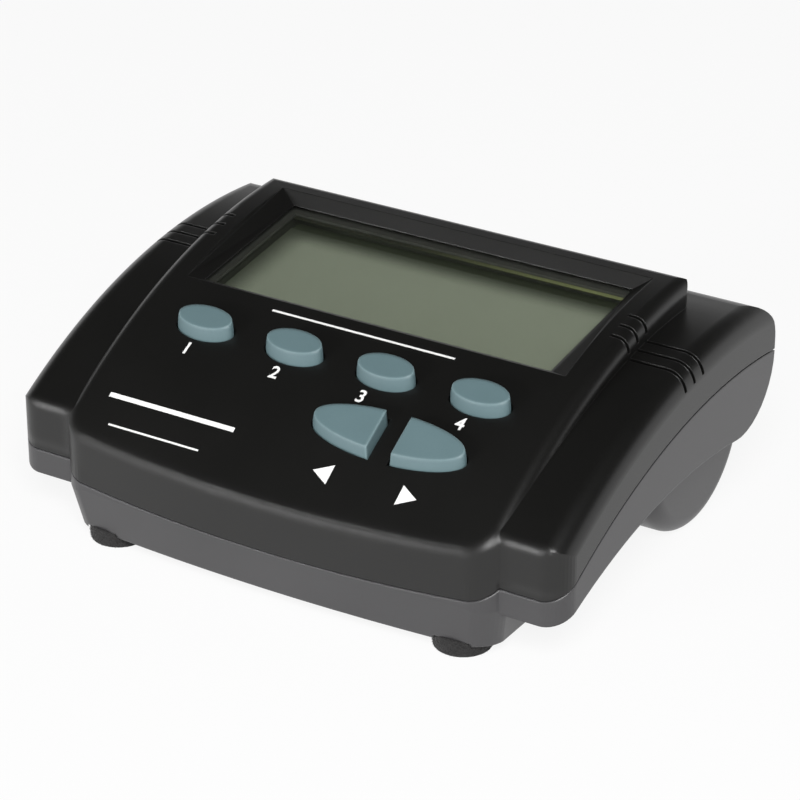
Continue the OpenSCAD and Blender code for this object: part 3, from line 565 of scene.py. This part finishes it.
for node, (body, rise) in KEYS.items():
    mesh = bmesh.new()
    mesh.from_mesh(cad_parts[node].data)
    bmesh.ops.remove_doubles(mesh, verts=mesh.verts, dist=weld)
    cap_points = [vert for vert in mesh.verts if over_panel(vert.co) > 0]
    top = max(over_panel(vert.co) for vert in cap_points)
    middle_x = middle_of([vert.co.x for vert in cap_points])
    middle_y = middle_of([vert.co.y for vert in cap_points])
    for vert in cap_points:
        height = over_panel(vert.co)
        slope = (height + sweep_r) / (vert.co.z - sweep_z)
        vert.co.z -= height * (1 - rise / top) * slope
        drawn_in = 1 - cap_draft * (height / top) ** 2
        vert.co.x = middle_x + (vert.co.x - middle_x) * drawn_in
        vert.co.y = middle_y + (vert.co.y - middle_y) * drawn_in
    for side in mesh.edges:
        side.smooth = side.calc_face_angle(0) < crease
    cap = finished("cap_" + node, mesh, key_satin)
    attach(cap, body)
    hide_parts(node)

ivory, shader, place = new_finish("plunger_ivory")
haze = place.grain(scale=1200)
feed(shader, Base_Color=haze.between((0.55, 0.5, 0.4), (0.7, 0.65, 0.55)),
     Roughness=0.4 + haze * 0.1)
dress(ivory, *[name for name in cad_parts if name.startswith("plunger")])


# Printed marks: white pad print on the panel. Plain numerals number the oval keys, arrowheads
# stand under the arrow keys, and thin rules fill the rest. The ink is a film on the curve.
ink_t = 0.03 * MM
arrow_angle = 35.1
arrow_half = 1.9
arrow_ends = ((6.3, 9.7), (26.45, 23.1))
arrow_steps = (0, 0.25, 0.5, 0.75, 1)
tip_share = 0.01
rule_ends = ((-18.5, 18.5), (-37.2, -11.2), (-34.4, -15.6))
rule_angles = (20.5, 33.6, 36.4)
rule_weights = (0.42, 0.9, 0.35)
rule_steps = 12
numeral_x = (-28.6, -10.3, 7.2, 26.6)
numeral_angle = 26.65
numeral_drop = 1.9
numeral_size = 3.6
numeral_bold = 0.06


def on_panel(x, run, over):
    angle = run / sweep_r
    r = sweep_r + over
    return Vector((x, sweep_y - r * math.sin(angle), sweep_z + r * math.cos(angle)))


def panel_run(degrees):
    return math.radians(degrees) * sweep_r / MM


white_ink, shader, place = new_finish("white_ink")
pad = place.grain(scale=2600, detail=3)
feed(shader, Base_Color=pad.between((0.74, 0.74, 0.73), (0.9, 0.9, 0.89)),
     Roughness=0.42 + pad * 0.12, Normal=pad.relief(strength=0.12, depth=0.02 * MM))


def printed(name, mesh):
    bmesh.ops.recalc_face_normals(mesh, faces=mesh.faces)
    made = finished(name, mesh, white_ink, False)
    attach(made, "housing")


def ink_patch(mesh, rows):
    laid = [[mesh.verts.new(on_panel(x * MM, run * MM, -ink_t)) for x, run in row] for row in rows]
    faces = [mesh.faces.new((a[k], a[k + 1], b[k + 1], b[k]))
             for a, b in zip(laid, laid[1:]) for k in range(len(a) - 1)]
    for vert in bmesh.ops.extrude_face_region(mesh, geom=faces)["geom"]:
        if isinstance(vert, bmesh.types.BMVert):
            outward = Vector((0, vert.co.y - sweep_y, vert.co.z - sweep_z)).normalized()
            vert.co += outward * 2 * ink_t


mesh = bmesh.new()
for tip, flat in arrow_ends:
    middle = panel_run(arrow_angle)
    ink_patch(mesh, [[(tip + (flat - tip) * t, middle + arrow_half * max(t, tip_share) * s)
                      for s in (-1, 0, 1)] for t in arrow_steps])
printed("arrow_prints", mesh)

mesh = bmesh.new()
for (left, right), degrees, weight in zip(rule_ends, rule_angles, rule_weights):
    middle = panel_run(degrees)
    ink_patch(mesh, [[(left + (right - left) * k / rule_steps, middle + weight / 2 * s)
                      for s in (-1, 1)] for k in range(rule_steps + 1)])
printed("rule_prints", mesh)

mesh = bmesh.new()
numeral_base = panel_run(numeral_angle) + numeral_drop
for number, key_x in enumerate(numeral_x, 1):
    numeral = bpy.data.curves.new("numeral", "FONT")
    numeral.body = str(number)
    numeral.size = numeral_size
    numeral.offset = numeral_bold
    numeral.align_x = "CENTER"
    numeral.extrude = ink_t / MM
    numeral.resolution_u = 5
    holder = bpy.data.objects.new("numeral", numeral)
    bpy.context.scene.collection.objects.link(holder)
    bpy.context.view_layer.update()
    flat = bpy.data.meshes.new_from_object(holder.evaluated_get(bpy.context.evaluated_depsgraph_get()))
    for vert in flat.vertices:
        x, up, over = vert.co
        vert.co = on_panel((key_x + x) * MM, (numeral_base - up) * MM, over * MM)
    mesh.from_mesh(flat)
    bpy.data.objects.remove(holder)
    bpy.data.curves.remove(numeral)
    bpy.data.meshes.remove(flat)
bmesh.ops.remove_doubles(mesh, verts=mesh.verts, dist=weld)
printed("key_numerals", mesh)


# Stage: a white table, clear from below so that the underside can be looked at, a soft light
# from the front right, a low strip for the front edges, and the photograph's camera.
floor_half = 4
floor_tone = (0.92, 0.92, 0.92, 1)
floor_glow = 0.88
horizon = (0.22, white)
overhead = (0.44, (0.04, 0.04, 0.04, 1))
lamp_aim = Vector((0, 0, 0.02))
azimuth = math.radians(31.96)
elevation = math.radians(26.33)
camera_reach = 569.6 * MM
camera_aim = Vector((0, 4, 20.23)) * MM

white_floor = bpy.data.materials.new("white_floor")
white_floor.use_nodes = True
tree = white_floor.node_tree
tree.nodes.remove(tree.nodes["Principled BSDF"])
base = Wire(tree)
camera_ray, glossy_ray, clear_ray = (base.node("ShaderNodeLightPath", {}, {}, kind) for kind in (
    "Is Camera Ray", "Is Glossy Ray", "Is Transmission Ray"))
seen = (camera_ray + glossy_ray + clear_ray).clamp()
matt = base.node("ShaderNodeBsdfDiffuse", {}, {"Color": floor_tone})
glow = base.node("ShaderNodeEmission", {}, {"Color": white, "Strength": 1.0})
table = base.node("ShaderNodeMixShader", {}, {0: seen * floor_glow, 1: matt, 2: glow})
from_below = base.node("ShaderNodeNewGeometry", {}, {}, "Backfacing")
clear = base.node("ShaderNodeBsdfTransparent", {}, {"Color": white})
one_sided = base.node("ShaderNodeMixShader", {}, {0: from_below, 1: table, 2: clear})
tree.links.new(one_sided.socket, tree.nodes["Material Output"].inputs["Surface"])
mesh = bmesh.new()
bmesh.ops.create_grid(mesh, x_segments=1, y_segments=1, size=floor_half)
floor = finished("floor", mesh, white_floor, False)

world = bpy.data.worlds.new("studio")
bpy.context.scene.world = world
world.use_nodes = True
tree = world.node_tree
base = Wire(tree)
height = base.node("ShaderNodeTexCoord", {}, {}, "Generated").axis("Z")
dome = base.node("ShaderNodeValToRGB", {"stops": (horizon, overhead)}, {0: height})
camera_ray = base.node("ShaderNodeLightPath", {}, {}, "Is Camera Ray")
sky = base.node("ShaderNodeMix", {"data_type": "RGBA"}, {"Factor": camera_ray, 6: dome, 7: white}, 2)
tree.links.new(sky.socket, tree.nodes["Background"].inputs["Color"])


def softbox(name, spot, size, watts):
    lamp = bpy.data.lights.new(name, "AREA")
    lamp.shape = "RECTANGLE"
    lamp.size, lamp.size_y = size
    lamp.energy = watts
    made = bpy.data.objects.new(name, lamp)
    bpy.context.scene.collection.objects.link(made)
    made.location = spot
    made.rotation_euler = (lamp_aim - Vector(spot)).to_track_quat("-Z", "Y").to_euler()


softbox("front_box", spot=(0.55, -0.8, 0.82), size=(0.55, 0.55), watts=17)
softbox("edge_box", spot=(-0.52, -0.99, 0.19), size=(0.35, 0.12), watts=4.5)

back = Vector((math.sin(azimuth) * math.cos(elevation),
               -math.cos(azimuth) * math.cos(elevation),
               math.sin(elevation)))
eye = bpy.data.cameras.new("photo_camera")
eye.sensor_width = 36
eye.lens = 145.4
eye.clip_start = 0.01
eye.clip_end = 20
camera = bpy.data.objects.new("photo_camera", eye)
bpy.context.scene.collection.objects.link(camera)
camera.location = camera_aim + back * camera_reach
camera.rotation_euler = (-back).to_track_quat("-Z", "Y").to_euler()
bpy.context.scene.camera = camera
bpy.context.scene.view_settings.view_transform = "Standard"
